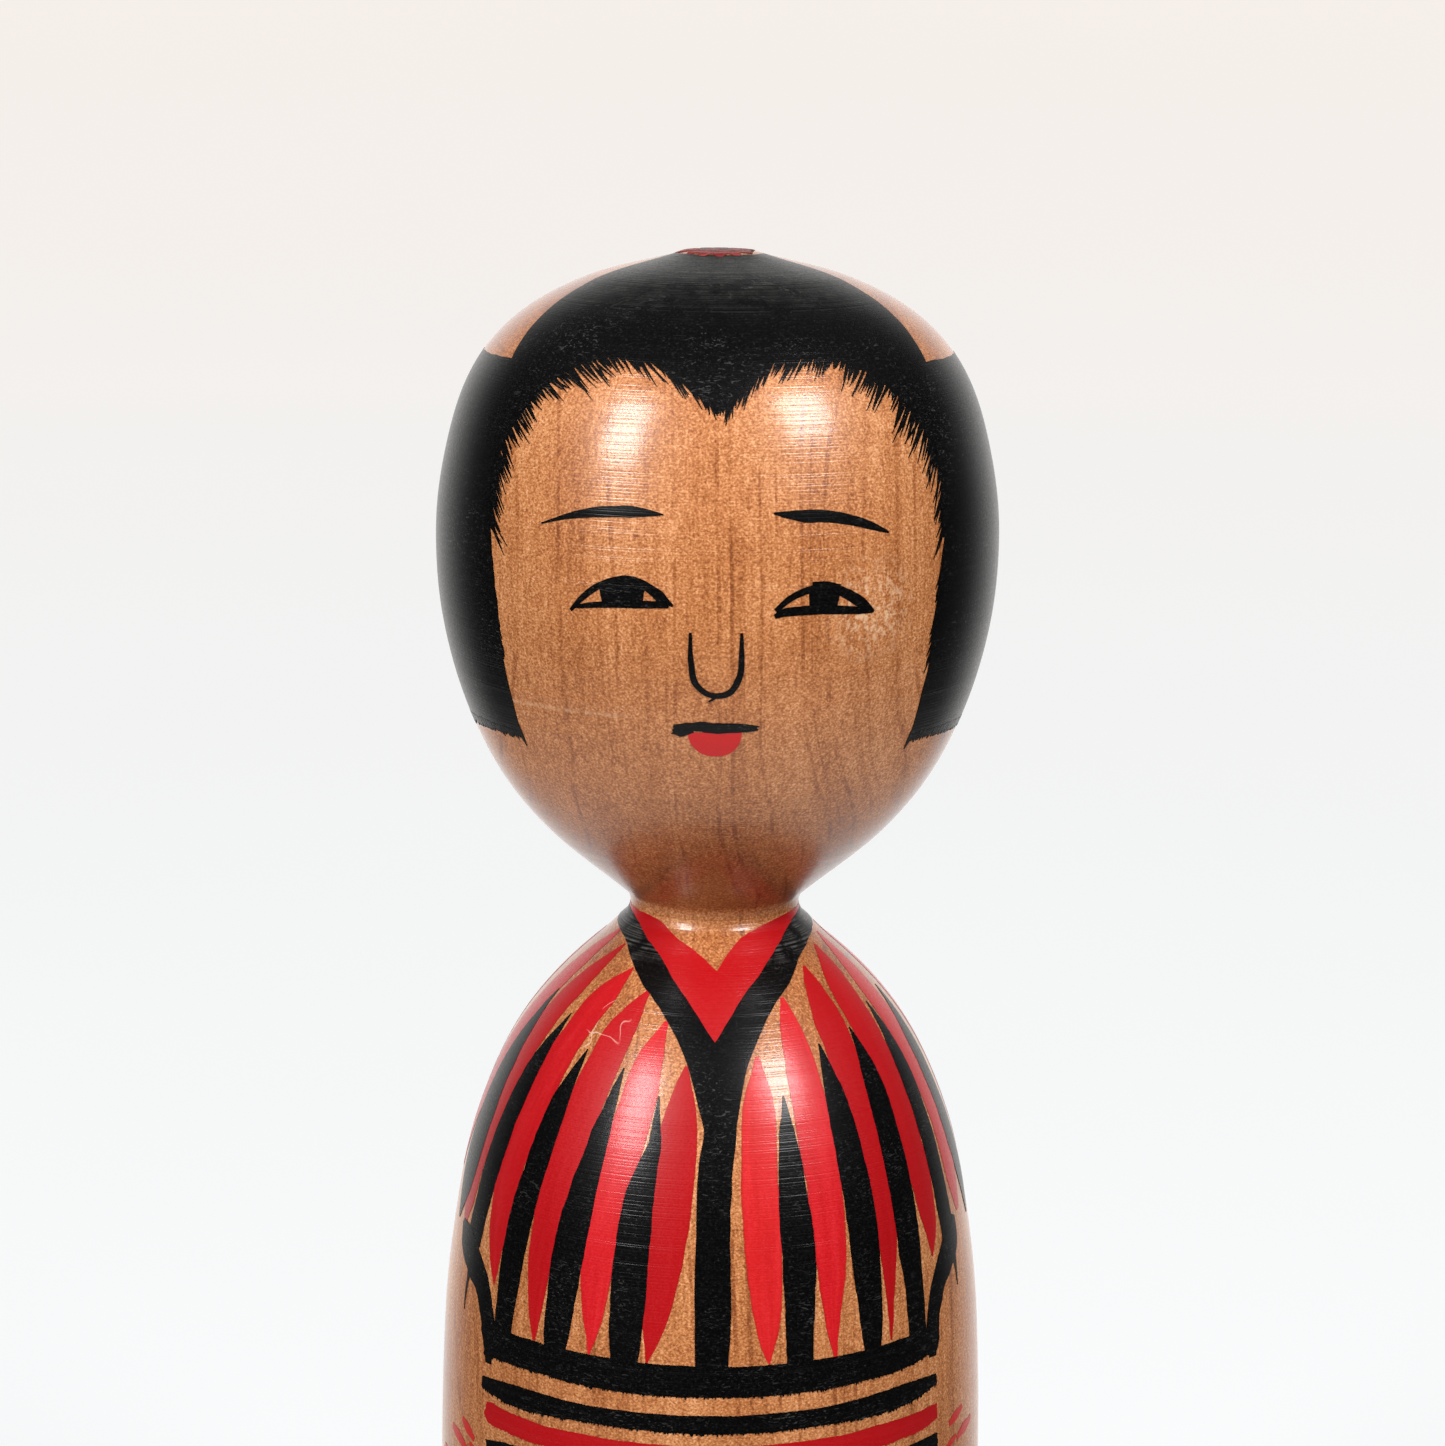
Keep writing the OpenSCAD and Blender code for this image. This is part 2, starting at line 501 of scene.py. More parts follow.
WOOD_TONES = [
    (0.0, (0.19, 0.050, 0.014)), (0.28, (0.325, 0.104, 0.030)), (0.5, (0.46, 0.168, 0.054)),
    (0.72, (0.61, 0.26, 0.102)), (1.0, (0.77, 0.41, 0.22)),
]


def wood_material():
    """Cherry-like wood gone orange-brown under wax, with vertical grain and a granular figure."""
    n = Nodes(bpy.data.materials.new("waxed_wood"))
    tone = wood_tone(n)
    colour = n.ramp(tone, *WOOD_TONES)
    colour = n.mix(scuffs(n), colour, (0.76, 0.47, 0.28))
    colour = n.mix(scratches(n), colour, (0.80, 0.55, 0.42))
    roughness = n.span(tone, 0.2, 0.8, 0.38, 0.5)
    return n.finish(colour, roughness, lathe_marks(n, 0.042), 0.56, 0.165, 0.3)


EYE_SCUFF = (22.8, -37.0, 250.6)
EYE_SCUFF_R = 9.0
CHEEK_SCRATCH_HEIGHT = 234.6


def scuffs(n):
    """Pale rubbed places where the wax has broken, by the doll's left eye and along one cheek."""
    rubbed = n.noise((1.1, 1.1, 0.8), 3.0, 0.7)
    near = n.make("VectorMath", _0=n.place_mm(1, 1, 1), _1=EYE_SCUFF)
    near.operation = "DISTANCE"
    by_eye = n.span(near.outputs["Value"], EYE_SCUFF_R, 3.0)
    x, y, z = n.xyz_mm()
    off = n.math("ABSOLUTE", n.less(z, CHEEK_SCRATCH_HEIGHT))
    scratch = n.times(n.span(off, 0.45, 0.1), n.span(x, -8.0, -16.0))
    scratch = n.times(scratch, n.span(y, 0.0, -2.0))
    spots = n.times(n.times(by_eye, n.span(rubbed, 0.49, 0.62)), 0.9)
    return n.math("MULTIPLY_ADD", scratch, n.span(rubbed, 0.4, 0.6, 0.0, 0.45), spots)


SCRATCHES = [  # pale scratches on the doll's right shoulder, each as x, height, x, height
    (-20.6, 179.4, -17.4, 183.6),
    (-19.6, 181.9, -14.2, 181.0),
    (-14.2, 181.0, -13.0, 184.4),
    (-17.2, 184.6, -14.6, 186.0),
]


def scratches(n):
    """The scratches as a mask, each a thin wavering line."""
    x, y, z = n.xyz_mm()
    waver = n.span(n.noise((0.4, 0.4, 0.4), 0.0), 0.2, 0.8, -1.0, 1.0)
    total = 0.0
    for x0, z0, x1, z1 in SCRATCHES:
        length = math.hypot(x1 - x0, z1 - z0)
        ux, uz = (x1 - x0) / length, (z1 - z0) / length
        along = n.math("MULTIPLY_ADD", x, ux, n.times(z, uz))
        along = n.less(along, x0 * ux + z0 * uz)
        off = n.math("MULTIPLY_ADD", x, -uz, n.times(z, ux))
        off = n.plus(n.less(off, z0 * ux - x0 * uz), waver)
        line = n.times(n.span(n.math("ABSOLUTE", off), 0.14, 0.04), n.span(along, 0.0, 0.8))
        line = n.times(line, n.span(along, length, length - 0.8))
        total = n.math("MAXIMUM", total, line)
    front = n.span(y, 0.0, -2.0)
    return n.times(n.times(total, front), 0.55)


def worn_and_sheen_rings(n):
    """Ink painted grey in rings where the collar meets the neck, and lightly over the crown: partly
    rubbed wear, partly painted sheen on the lathe rings there.
    """
    height = n.xyz_mm()[2]
    close = n.times(n.span(height, 190.5, 193.0), n.span(height, 198.0, 196.5))
    close = n.plus(close, n.span(height, 291.0, 299.0, 0.0, 0.5))
    rings = n.span(n.noise_1d(n.times(n.attribute("run"), 2.6)), 0.42, 0.66)
    patchy = n.span(n.noise((0.35, 0.35, 0.35), 3.0), 0.4, 0.62)
    return n.times(n.times(close, rings), n.times(patchy, 0.75))


def black_material():
    """Black ink under wax: satin, grained by the wood, and dusted with wear in patches, with grey rings
    of wear and painted sheen by the neck.
    """
    n = Nodes(bpy.data.materials.new("black_ink"))
    grain = n.noise((2.4, 2.4, 2.8), 2.0, 0.6)
    worn = n.span(n.noise((0.07, 0.07, 0.09), 2.0), 0.42, 0.68, 0.1, 1.0)
    colour = n.ramp(grain, (0.45, (0.0004, 0.0004, 0.0007)), (0.64, (0.0024, 0.0023, 0.0025)),
                    (0.82, (0.028, 0.026, 0.024)))
    specks = n.make("TexVoronoi", Vector=n.place_mm(0.9, 0.9, 0.9), Scale=1.0)
    dots = n.times(n.span(specks.outputs["Distance"], 0.16, 0.06), worn)
    colour = n.mix(n.times(dots, 0.35), colour, (0.13, 0.12, 0.11))
    hairs = n.noise((0.5, 0.5, 1.9), 2.0, 0.5, 2.5)
    scratch = n.times(n.span(hairs, 0.60, 0.70), worn)
    colour = n.mix(n.times(scratch, 0.4), colour, (0.11, 0.11, 0.105))
    # grey rings by the neck and over the crown: wear, and painted sheen
    colour = n.mix(worn_and_sheen_rings(n), colour, (0.115, 0.113, 0.105))
    roughness = n.span(grain, 0.3, 0.7, 0.36, 0.52)
    return n.finish(colour, roughness, lathe_marks(n, 0.030), 0.36, 0.22, 0.06)


def red_material(name, coat, specular):
    """Red dye: thin enough to show the brush's streaks, and pooled darker at the edges."""
    n = Nodes(bpy.data.materials.new(name))
    across, along, tint = (n.attribute(k) for k in ("across", "along", "tint"))
    hairs = n.make("CombineXYZ", X=n.times(across, 2.0), Y=n.times(along, 0.06), Z=n.times(tint, 40.0))
    streaks = n.make("TexNoise", Vector=hairs.outputs[0], Scale=1.0, Detail=2.0, Roughness=0.55)
    streaks = streaks.outputs["Fac"]
    colour = n.ramp(streaks, (0.25, (0.52, 0.004, 0.008)), (0.5, (0.61, 0.008, 0.013)),
                    (0.8, (0.69, 0.020, 0.026)))
    edge = n.span(n.math("ABSOLUTE", across), 0.86, 0.99)
    colour = n.mix(n.times(edge, 0.55), colour, (0.33, 0.014, 0.006))
    grain = n.span(speckle(n), 0.35, 0.7)
    colour = n.mix(n.times(n.less(1.0, grain), 0.35), colour, (0.36, 0.003, 0.007))
    colour = n.mix(n.span(tint, 0.5, 0.0, 0.0, 0.85), colour, (0.35, 0.001, 0.003))
    colour = n.mix(n.span(tint, 0.5, 1.0, 0.0, 0.5), colour, (0.52, 0.035, 0.016))
    worn = n.ramp(n.noise((0.6, 0.6, 0.6), 3.0), (0.38, (0.035, 0.026, 0.024)),
                  (0.5, (0.11, 0.03, 0.026)), (0.66, (0.25, 0.06, 0.05)))
    colour = n.mix(n.span(tint, -0.2, -1.0), colour, worn)
    colour = n.mix(scratches(n), colour, (0.80, 0.42, 0.36))
    roughness = n.span(grain, 0.25, 0.75, 0.36, 0.5)
    return n.finish(colour, roughness, lathe_marks(n, 0.026), coat, 0.21, specular)


# ---------------- the painting

HAIRLINE = [  # left half, from the sideburn's foot up to the widow's peak
    (-48.6, 229), (-48.7, 241), (-49.2, 251), (-51, 261), (-51.4, 270.4), (-46.6, 278), (-38.8, 283.6),
    (-29.5, 286.3), (-20, 286.8), (-12.4, 285.8), (-7.9, 284.3), (-3.5, 282.1), (-0.4, 279.9),
]
HAIRLINE_RIGHT = [(-a, h) for a, h in HAIRLINE[:9]] + [
    (14.5, 286.4), (10.8, 285.6), (7.0, 284.3), (3.0, 282.0), (-0.4, 279.9),
]
CAP_EDGE = [(-59.5, 285), (-63, 290.5), (-70, 296), (-79, 298.6), (-86, 299.5)]
SIDE_TOP = [(-116, 279), (-104, 283.6), (-88, 284.6), (-74, 284.8), (-59.5, 285)]
SIDE_BACK = [(-112, 232), (-119, 243), (-122, 258), (-116, 279)]
SIDE_FOOT = [(-48.6, 229), (-68, 228.6), (-92, 228), (-112, 232)]

# The cap's edge over the crown, just in front of its middle
CAP_BACK = [(86, 299.5), (45, 299.55), (0, 299.6), (-45, 299.55), (-86, 299.5)]

# How the fringe's hairs lean, in degrees towards the face's middle, by their angle round the head
FRINGE_LEAN = [(-52, 36), (-48, 54), (-40, 60), (-28, 48), (-18, 40), (-9, 33), (0, 12)]
SHORTER_RUN = 6  # hairs get shorter over this last stretch of an edge


def bristles(sheet, edge, lean, rng, reach, pitch=0.45):
    """Fine hairs painted out over the edge of a black area, in clumps, leaning by some degrees."""
    surface = sheet.surface
    scale = float(surface.r.max())
    c = smooth([(math.radians(a) * scale, surface.run(h)) for a, h in edge], pitch)
    clump = ripple(rng, len(c), pitch, 1.6, 0.25)
    for k in range(1, len(c)):
        x, s = c[k] + rng.normal(0, 0.09, 2)
        a = math.radians(lean(math.degrees(c[k][0] / scale)) + rng.normal(0, 5))
        near_end = min(1, (len(c) - k) * pitch / SHORTER_RUN + 0.22)
        length = reach * max(0.35, rng.uniform(0.6, 1.05) + clump[k]) * near_end
        dx, ds = math.sin(a), math.cos(a)
        r = float(surface.radius(s)) / scale
        path = []
        for d, w in ((-1.1, 0.4), (0.0, 0.44), (length * 0.5, 0.34), (length, 0.07)):
            height = float(np.interp(s + ds * d, surface.s, surface.z))
            path.append((math.degrees((x + dx * d / r) / scale), height, w * rng.uniform(0.75, 1.1)))
        stroke(sheet, path, rng, DETAIL_LIFT, step=0.5, waver=0.01)


def paint_hair(surface, black):
    """Fringe cap and side locks in one black mass, with a brushed hairline, and the back lock."""
    rng = np.random.default_rng(11)
    sheet = Sheet(surface)
    outline = [
        SIDE_FOOT[::-1], HAIRLINE, HAIRLINE_RIGHT[::-1], other_side(SIDE_FOOT), other_side(SIDE_BACK),
        other_side(SIDE_TOP), other_side(CAP_EDGE), CAP_BACK,
        CAP_EDGE[::-1], SIDE_TOP[::-1], SIDE_BACK[::-1],
    ]
    patch(sheet, outline, rng, BLACK_LIFT)
    angles, leans = zip(*FRINGE_LEAN)
    bristles(sheet, HAIRLINE[3:], lambda a: np.interp(a, angles, leans), rng, 5.0)
    bristles(sheet, HAIRLINE[1:4], lambda a: 14, rng, 1.6, 0.8)
    bristles(sheet, HAIRLINE_RIGHT[3:], lambda a: -np.interp(-a, angles, leans) * 0.7, rng, 4.6)
    bristles(sheet, other_side(HAIRLINE[1:4]), lambda a: -22, rng, 2.2, 0.7)
    for side in (-1, 1):
        foot = [(side * abs(a), h) for a, h in SIDE_FOOT]
        bristles(sheet, foot, lambda a: side * -6, rng, 0.7, 0.5)
        tip = [(side * 49.4, 230.6, 0.9), (side * 48.9, 229, 0.9), (side * 48.3, 227.4, 0.15)]
        stroke(sheet, tip, rng, DETAIL_LIFT, step=0.3)
    paint_back_lock(sheet, rng)
    return sheet.build("hair", black)


def paint_back_lock(sheet, rng):
    """The hair down the back of the head, a tapering lock that ends in brushed tips."""
    left = [(206, 299.4), (222, 292), (219, 272), (211, 250), (203, 236), (196, 230)]
    foot = [(196, 230), (188, 226.5), (180, 225.5), (172, 226.5), (164, 230)]
    right = [(360 - a, h) for a, h in reversed(left)]
    top = [(154, 299.4), (180, 299.5), (206, 299.4)]
    patch(sheet, [left, foot, right, top], rng, BLACK_LIFT)
    bristles(sheet, foot, lambda a: (180 - a) * -0.8, rng, 4.5, 0.8)


ROSETTE_SPOT_R = 3.4
ROSETTE_PETALS = 14
ROSETTE_ROOT = 2.2  # where the petals start, from the crown's middle


def paint_crown(surface, red):
    """A worn red rosette on the crown: a round spot with short petals pulled out from it."""
    rng = np.random.default_rng(12)
    rosette = Sheet(surface)
    disc(rosette, ROSETTE_SPOT_R, RED_LIFT + BLACK_LIFT, -1.0)
    for k in range(ROSETTE_PETALS):
        angle = 360 / ROSETTE_PETALS * k + rng.normal(0, 3)
        out = rng.uniform(4.9, 7.2)
        path = []
        for part, width in ((0, 0.9), (0.35, 1.8), (0.7, 2.4), (1, 0.8)):
            run = ROSETTE_ROOT + (out - ROSETTE_ROOT) * part
            path.append((angle, float(np.interp(run, surface.s, surface.z)), width))
        worn = -rng.uniform(0.7, 1.0)
        stroke(rosette, path, rng, DETAIL_LIFT + 0.004 * (k % 3), step=0.3, tint=worn)
    return rosette.build("crown_rosette", red)


def disc(sheet, radius, lift, tint, segments=48, rings=6):
    """A round spot over the very top of the doll."""
    theta = np.linspace(0, 2 * math.pi, segments, endpoint=False)
    runs = np.linspace(0, radius, rings + 1)[1:]
    th = np.r_[0, np.tile(theta, rings)]
    s = np.r_[0, np.repeat(runs, segments)]
    faces = [(0, 1 + i, 1 + (i + 1) % segments) for i in range(segments)]
    faces += bands(1, rings, segments)
    sheet.add(th, s, faces, lift, tint=tint)


BROWS = [
    [(-36.5, 262.6, 0.2), (-32, 263.7, 0.7), (-27, 264.6, 1.2), (-20.5, 265.2, 1.6), (-16, 265.3, 1.5),
     (-12.5, 265.2, 0.8), (-10.4, 265.1, 0.15)],
    [(11, 265.4, 0.3), (13.5, 265.2, 1.1), (17.5, 264.9, 1.7), (22.5, 264.7, 1.7), (27.5, 263.9, 1.5),
     (32, 262.8, 1.1), (35.4, 261.8, 0.3)],
]
LIDS = [
    [(-29.4, 250.3, 0.5), (-26.4, 252.6, 1), (-22, 254.7, 1.05), (-17.6, 255.45, 1.2),
     (-13.4, 254.6, 1.4), (-10.2, 252.8, 1.4), (-8.3, 251.9, 0.35)],
    [(11.4, 251.2, 0.8), (14.2, 253, 1), (18.4, 254.25, 1.05), (22.2, 254.4, 1.1), (26, 253.2, 1.5),
     (29.4, 251.6, 1.6), (32, 250.3, 0.4)],
    [(18.6, 254.9, 0.9), (21.3, 254.9, 0.9), (24.4, 254.4, 0.7)],
]
LOWER_LINES = [
    [(-28.6, 250.9, 0.6), (-24, 251.4, 0.9), (-17, 251.8, 1), (-9.2, 252.1, 1.1)],
    [(11.2, 250.4, 0.6), (12.8, 250.9, 1.2), (15.5, 251.15, 1.35), (20, 251.2, 1.4), (25, 250.9, 1.3),
     (31.8, 250.5, 0.8)],
]
IRISES = [
    [(-22.4, 251.5), (-23.2, 254.4), (-19.6, 255.3), (-13.7, 254.8), (-14.4, 251.6)],
    [(18.1, 251), (17.9, 254.3), (21, 254.7), (24.5, 254), (23.7, 251)],
]
NOSE = [
    (-5, 248, 0.4), (-4.9, 243.5, 0.85), (-3.9, 240.1, 0.9), (-1.2, 238.6, 0.9), (2.6, 238.8, 1),
    (4.6, 241.2, 0.9), (4.95, 245, 0.75), (4.9, 248, 0.35),
]
NOSE_TICK = [(0.6, 238.5, 0.5), (-1.4, 237.5, 0.25)]
MOUTH = [
    [(-8.6, 233.4, 0.9), (-5, 233.4, 1.5), (1, 233.3, 1.7), (5.5, 233.3, 1.5), (8.7, 233.2, 0.7)],
    [(-8.9, 232.6, 0.7), (-7, 232.5, 1.3), (-5, 232.9, 0.8)],
]
LIP = [
    (-5.9, 232.6), (-5.3, 230.8), (-3.2, 229.3), (0, 228.8), (3.2, 229.3), (5.1, 230.8), (5.6, 232.6),
]


def paint_face(surface, black, red):
    """Brows, eyes, nose and mouth, each a stroke or two of a fine brush."""
    rng = np.random.default_rng(13)
    ink = Sheet(surface)
    for path in BROWS + LIDS + LOWER_LINES + [NOSE, NOSE_TICK]:
        stroke(ink, path, rng, BLACK_LIFT, step=0.25, waver=0.05)
    for corners in IRISES:
        sides = [[a, b] for a, b in zip(corners, corners[1:] + corners[:1])]
        patch(ink, sides, rng, BLACK_LIFT, pitch=0.8, waver=0.02)
    for path in MOUTH:
        stroke(ink, path, rng, BLACK_LIFT, step=0.25, waver=0.12, ragged=0.4)
    lip = Sheet(surface)
    patch(lip, [LIP, [LIP[-1], LIP[0]]], rng, RED_LIFT, pitch=0.9, waver=0.03, tint=0.62)
    return ink.build("face_ink", black), lip.build("lower_lip", red)


# Kimono: the two collars and the front stripe
COLLAR_TOP = [
    (-180, 197.3), (-110, 197.3), (-75, 197.25), (-52, 197.1), (-42, 196.8), (-33, 196), (-23.5, 194.8),
    (-10, 193.2), (-4, 192.1), (1.5, 190.9),
]
COLLAR_TOP_R = [
    (1.5, 190.9), (7.5, 193), (15.5, 194.7), (27, 195.8), (38.5, 196.5), (56, 197.15), (80, 197.3),
    (120, 197.3), (180, 197.3),
]
BLACK_INNER = [
    (-180, 196.6), (-110, 196.6), (-71, 196.4), (-53.5, 195.3), (-39.7, 193.8), (-28.2, 192.2),
    (-16.7, 189.4), (-7.5, 186.2), (0.6, 182),
]
BLACK_INNER_R = [
    (0.6, 182), (9.8, 187), (19, 189.8), (27, 191.6), (38.5, 193.6), (55.8, 195.5), (71, 196.4),
    (110, 196.6), (180, 196.6),
]
BLACK_OUTER = [
    (-180, 194.6), (-110, 194.5), (-88, 194.4), (-71, 194), (-53.5, 192.8), (-42, 191), (-30.5, 188.6),
    (-21.3, 186.4), (-13.3, 183.2), (-7.5, 179), (-3.7, 173.5), (-2.1, 170.2),
]
BLACK_OUTER_R = [
    (6.2, 171), (7.4, 174), (9.8, 178.4), (14.4, 182.2), (22.4, 186.2), (31.6, 188.5), (44.3, 191.2),
    (55.8, 192.5), (71, 193.6), (100, 194.4), (180, 194.6),
]
STRIPE_LEFT = [(-2.1, 170.2), (-2.2, 169), (-3, 165.6), (-3.3, 156), (-3.3, 142), (-3, 135)]
STRIPE_RIGHT = [(3.6, 135), (4.2, 142), (4.1, 156), (4.8, 164), (6.2, 171)]

# Petal strokes of the kimono, top to bottom: angle, height, width
RED_STRIPES = [
    [(-7.6, 178.8, 0.5), (-8.2, 172, 4.6), (-9, 160, 5.7), (-10.6, 148, 4.6), (-11.9, 141, 2.9),
     (-13.2, 135.4, 0.2)],
    [(-16, 184.4, 0.5), (-18.6, 180, 3.6), (-20.2, 173, 5.4), (-22.6, 163, 5.5), (-25.2, 149, 5),
     (-25.4, 141, 2.9), (-25.8, 135.6, 0.2)],
    [(-26, 188.2, 0.4), (-30.4, 184, 3.9), (-33.8, 176, 5.8), (-37.2, 164, 5.7), (-39.8, 149, 4.6),
     (-39.9, 141, 2.4), (-39.6, 135.8, 0.5)],
    [(-39.2, 190.3, 0.4), (-44, 187, 4), (-48.6, 180, 5.4), (-52.6, 168, 6.2), (-54.8, 155, 5.4),
     (-54.6, 147, 3.2), (-53.6, 141.8, 0.2)],
    [(-54.8, 192.7, 0.4), (-61, 188, 3.6), (-65.8, 180, 5.6), (-68.9, 168, 5.6), (-71, 157, 5.2),
     (-71.6, 152, 4.4), (-72, 147.6, 1)],
    [(-69.2, 194.3, 0.4), (-75, 190.8, 3.2), (-77.5, 187, 5), (-80, 182, 5.8), (-84, 174, 5.6),
     (-87, 164, 5.2), (-88, 154, 1.5)],
    [(13.2, 180, 0.5), (12.4, 175, 3.8), (11.3, 166, 5.1), (11.4, 152, 5.3), (11.8, 143, 3.8),
     (11.9, 139, 2.2), (12.1, 135.6, 0.2)],
    [(27, 187.2, 0.5), (26.4, 183, 3.2), (26.2, 175, 5.2), (26.6, 162, 5.5), (26.8, 149, 4.5),
     (26.3, 141, 2.2), (26.6, 135.5, 0.6)],
    [(45.4, 190.4, 0.5), (42.8, 186, 4.2), (41.4, 178, 5.6), (41.8, 166, 4), (42, 152, 3.6),
     (41.4, 143, 1.9), (40.8, 136.2, 0.3)],
    [(64.6, 192.3, 0.5), (58.6, 188, 4.5), (56.2, 180, 6.1), (56.3, 168, 5.2), (56.8, 155, 4.6),
     (57.2, 150, 2.6), (56.6, 146.4, 0.3)],
    [(80, 193.2, 0.5), (75.5, 188, 4), (73.4, 179, 5.6), (73.4, 165, 5.4), (73, 156, 4.6),
     (73.2, 150.4, 1.4)],
]
BLACK_STRIPES = [
    [(-14.4, 174.6, 0.2), (-14.2, 168, 2), (-16.4, 161, 4.3), (-17.5, 150, 5.6), (-17.8, 142, 5.4),
     (-18, 135, 4.4)],
    [(-26.1, 177.8, 0.2), (-28.6, 168, 3.2), (-30.6, 160, 4.6), (-32.6, 150, 5.6), (-33.5, 142, 5.2),
     (-34.2, 135, 3.9)],
    [(-40.2, 179.3, 0.2), (-43.4, 171, 3.7), (-45.6, 161, 4.7), (-48, 150, 5.3), (-48.7, 142, 4.8),
     (-49.4, 134.5, 4.2)],
    [(-54.7, 183, 0.2), (-58.6, 175, 3.6), (-61.2, 165, 5), (-63, 155, 5.2), (-64.9, 146.5, 5)],
    [(-72.6, 184.8, 0.2), (-73.8, 178, 4), (-75.2, 171, 6.6), (-75.8, 163, 8.2), (-76.6, 154, 6.8),
     (-78, 147.5, 0.6)],
    [(19.2, 174.6, 0.2), (18.9, 168, 2.8), (18.8, 160, 4.7), (19.2, 150, 5.4), (18.9, 142, 4.7),
     (18.7, 135, 4.2)],
    [(34.3, 180.8, 0.2), (34.4, 174, 3.4), (34.9, 164, 5.1), (35.6, 152, 5.5), (35.8, 142, 4.5),
     (35.8, 135, 3.2)],
    [(48.9, 181.9, 0.2), (48.8, 174, 4), (48.4, 164, 5), (48.7, 152, 5.3), (48.9, 142, 4.3),
     (48.9, 134.5, 4)],
    [(65.8, 184, 0.2), (64.9, 176, 3.7), (64.3, 166, 4.5), (64.3, 156, 4.5), (65.2, 148, 4.4)],
    [(84.8, 184.5, 0.2), (80.6, 177, 4.4), (80.4, 169, 5.6), (81.2, 160, 6.4), (82.4, 153, 4.6),
     (82.8, 147.8, 0.4)],
]
HEM_LINES = [  # from the sleeves' tips down to the ends of the sash
    [(-73, 148, 1.2), (-69.5, 146.2, 4.8), (-64.5, 144, 5.4), (-59, 141.4, 4.2), (-55.4, 137, 3.7),
     (-53.8, 132.5, 3.3), (-53.6, 129.3, 1.6)],
    [(69.3, 150.4, 1), (67.2, 147.4, 4.4), (63, 145.2, 5), (58.6, 142.4, 4.2), (55, 138, 3.6),
     (53.9, 133.5, 3.4), (53.6, 131, 1.8)],
]
HEM_TAILS = [
    [(-65.2, 141.8, 1.6), (-65.6, 139, 0.7), (-65.8, 135.2, 0.15)],
    [(66.6, 144.4, 1.6), (67, 142, 0.6), (67, 139.6, 0.15)],
]
SASH_INK = [
    [(-54.8, 133, 4.9), (-45, 133.3, 4.8), (-25, 133.2, 4.9), (0, 133.1, 4.8), (25, 133.2, 4.8),
     (45, 133.5, 4.6), (54.6, 133.8, 4.2)],
    [(-54.8, 126, 1.8), (-50, 126, 2.8), (-25, 126.4, 2.7), (0, 126.4, 2.8), (25, 126.6, 2.8),
     (48, 127, 2.9), (54.4, 127.2, 1.6)],
    [(-53, 115.6, 2.6), (-48, 115.8, 3.8), (-20, 116, 4), (10, 116.1, 4), (40, 116.4, 4),
     (54.6, 117, 2.6)],
]
SASH_RED = [
    (-53.8, 121.9, 2.3), (-52.6, 121.7, 3.2), (-49, 121.5, 3.3), (-25, 121.4, 3.1), (0, 121.4, 3.1),
    (25, 121.5, 3.1), (50, 121.7, 3), (54.8, 121.9, 2.4),
]

UNDER_LAP = 0.9  # how far the red under-collar runs on beneath the black one


def paint_collar(surface, black, red):
    """The red under-collar, and the black collar that runs on into the front stripe."""
    rng = np.random.default_rng(21)
    under = Sheet(surface)
    lower = [(a, h - UNDER_LAP) for a, h in BLACK_INNER]
    lower_r = [(a, h - UNDER_LAP) for a, h in BLACK_INNER_R]
    outline = [COLLAR_TOP, COLLAR_TOP_R, [COLLAR_TOP_R[-1], lower_r[-1]], lower_r[::-1], lower[::-1],
               [lower[0], COLLAR_TOP[0]]]
    patch(under, outline, rng, RED_LIFT, pitch=1.2, tint=0.05)
    over = Sheet(surface)
    outline = [BLACK_INNER, BLACK_INNER_R, [BLACK_INNER_R[-1], BLACK_OUTER_R[-1]], BLACK_OUTER_R[::-1],
               STRIPE_RIGHT[::-1], [STRIPE_RIGHT[0], STRIPE_LEFT[-1]], STRIPE_LEFT[::-1],
               BLACK_OUTER[::-1], [BLACK_OUTER[0], BLACK_INNER[0]]]
    patch(over, outline, rng, BLACK_LIFT, pitch=1.2)
    return under.build("collar_red", red), over.build("collar_and_front", black)


# Behind, the stripes are spaced evenly: top, bottom, and the first one's angle
BACK_STRIPES = 10
BACK_PITCH = 18.05
RED_BACK = (193.0, 149.0, 97.5)
BLACK_BACK = (184.0, 147.5, 106.5)


def back_stripes(rng, top, bottom, first):
    """The same petal strokes carried on round the back, evenly spaced."""
    paths = []
    for k in range(BACK_STRIPES):
        a = first + BACK_PITCH * k
        sway = rng.normal(0, 0.8, 3)
        w = rng.uniform(4.9, 5.9)
        span = top - bottom
        paths.append([
            (a + sway[0], top + rng.normal(0, 0.6), 0.4),
            (a + sway[1] * 0.5, top - 0.15 * span, w * 0.62),
            (a + sway[1], top - 0.4 * span, w),
            (a + sway[2], top - 0.75 * span, w * 0.95),
            (a + sway[2], bottom + rng.normal(0, 0.6), 0.4),
        ])
    return paths


def paint_stripes(surface, black, red):
    """The kimono's stripes: red petals first, black ones over their edges."""
    rng = np.random.default_rng(22)
    reds, blacks = Sheet(surface), Sheet(surface)
    for k, path in enumerate(RED_STRIPES + back_stripes(rng, *RED_BACK)):
        fuller = [(a, h, w + 0.4 if w > 2 else w) for a, h, w in path]
        stroke(reds, fuller, rng, RED_LIFT + 0.0015 * (k % 5))
    for k, path in enumerate(BLACK_STRIPES + back_stripes(rng, *BLACK_BACK)[:-1]):
        stroke(blacks, path, rng, BLACK_LIFT + 0.002 * (k % 3))
    return reds.build("stripes_red", red), blacks.build("stripes_black", black)


